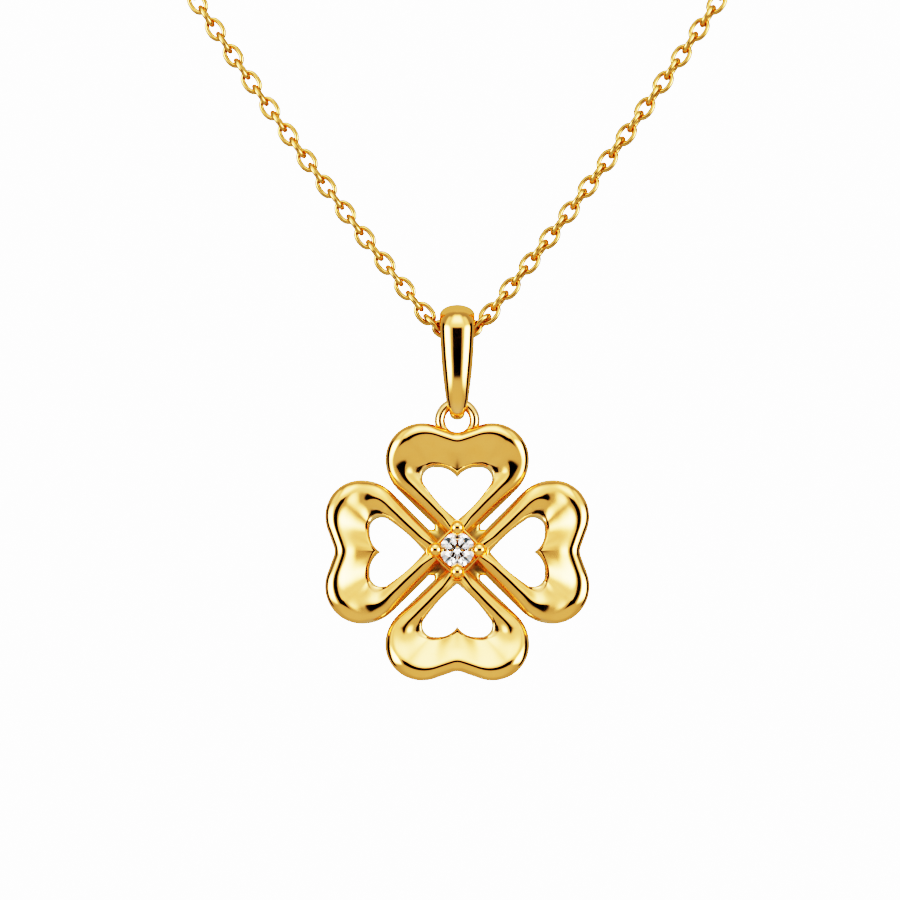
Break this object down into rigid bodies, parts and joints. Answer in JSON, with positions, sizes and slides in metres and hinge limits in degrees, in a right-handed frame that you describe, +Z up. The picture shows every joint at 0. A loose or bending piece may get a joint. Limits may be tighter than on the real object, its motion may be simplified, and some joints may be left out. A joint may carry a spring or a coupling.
{
  "type": "diamond necklace",
  "caption": "Fine chain necklace with a pierced clover pendant of heart petals, a small round stone in ball prongs, and a tapered bail.",
  "frame": {"origin": "top of the loop, at the middle of the clasp, where the necklace lies on the back of the neck", "axes": "+Z up, -Y the front of the pendant, +X to the right seen from the front"},
  "size_m": [0.11, 0.0031, 0.2026],
  "materials": {
    "gold": "polished yellow gold",
    "chain_gold": "polished yellow gold wire",
    "stone": "cut and polished colourless stone"
  },
  "bodies": {
    "necklace": {"chain": "chain_gold", "clasp": "gold"},
    "bail": {"bail": "gold"},
    "pendant": {"clover": "gold", "diamond": "stone"}
  },
  "joints": [
    {"name": "bail_swing", "type": "hinge", "parent": "necklace", "child": "bail", "pos_m": [0, 0, -0.18], "axis": [1, 0, 0], "range_deg": [-75, 75]},
    {"name": "pendant_swing", "type": "hinge", "parent": "bail", "child": "pendant", "pos_m": [0, 0, -0.18408], "axis": [1, 0, 0], "range_deg": [-60, 60]}
  ]
}
